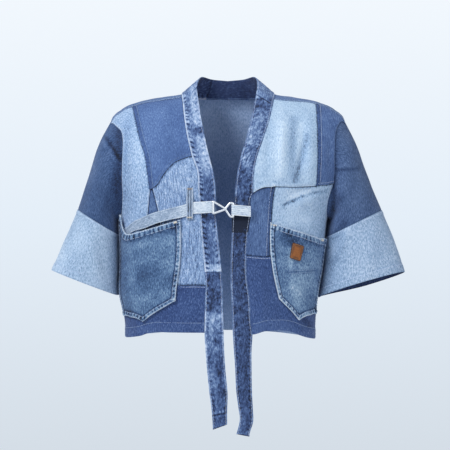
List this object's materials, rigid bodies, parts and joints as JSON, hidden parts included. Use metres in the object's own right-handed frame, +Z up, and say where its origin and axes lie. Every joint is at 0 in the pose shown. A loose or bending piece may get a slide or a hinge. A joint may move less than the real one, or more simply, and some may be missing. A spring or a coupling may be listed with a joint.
{
  "type": "patched denim noragi jacket",
  "caption": "Cropped denim patchwork jacket in its worn, hollow form, with a collar band whose ends hang, wide short sleeves, patch pockets and a strap closed by a metal buckle.",
  "frame": {"origin": "between the shoulders, at the height of the neck seam's front, in the middle of the neck opening", "axes": "+X towards the wearer's left, -Y the front, +Z up"},
  "size_m": [0.8368, 0.2585, 0.8428],
  "materials": {
    "denim_back": "worn twill",
    "denim_mid": "worn twill",
    "denim_pale": "washed twill",
    "denim_very_pale": "bleached twill",
    "denim_dark": "dark twill",
    "denim_sleeve": "dark twill",
    "denim_cuff": "washed twill",
    "denim_mottled": "worn seams, mottled",
    "denim_pocket": "worn twill",
    "denim_belt": "bleached twill",
    "leather": "smooth",
    "nickel": "polished"
  },
  "bodies": {
    "root": {"back_panel": "denim_back", "front_right_chest": "denim_mid", "front_right_side": "denim_pale", "front_right_waist": "denim_pale", "front_right_wedge": "denim_dark", "front_right_hem": "denim_dark", "front_left_chest": "denim_very_pale", "front_left_strip": "denim_mid", "front_left_centre": "denim_mid", "front_left_side": "denim_pale", "front_left_hem": "denim_dark", "sleeve_right_upper": "denim_sleeve", "sleeve_right_cuff": "denim_cuff", "sleeve_left_upper": "denim_sleeve", "sleeve_left_cuff": "denim_cuff", "band_neck": "denim_mottled", "band_right_upper": "denim_mottled", "band_right_lower": "denim_mottled", "band_right_end": "denim_mottled", "band_left_upper": "denim_mottled", "band_left_lower": "denim_mottled", "pocket_right": "denim_pocket", "pocket_left": "denim_pocket", "pocket_label": "leather", "belt_right": "denim_belt", "belt_left": "denim_belt", "belt_loop": "denim_pale", "buckle": "nickel"}
  },
  "joints": []
}
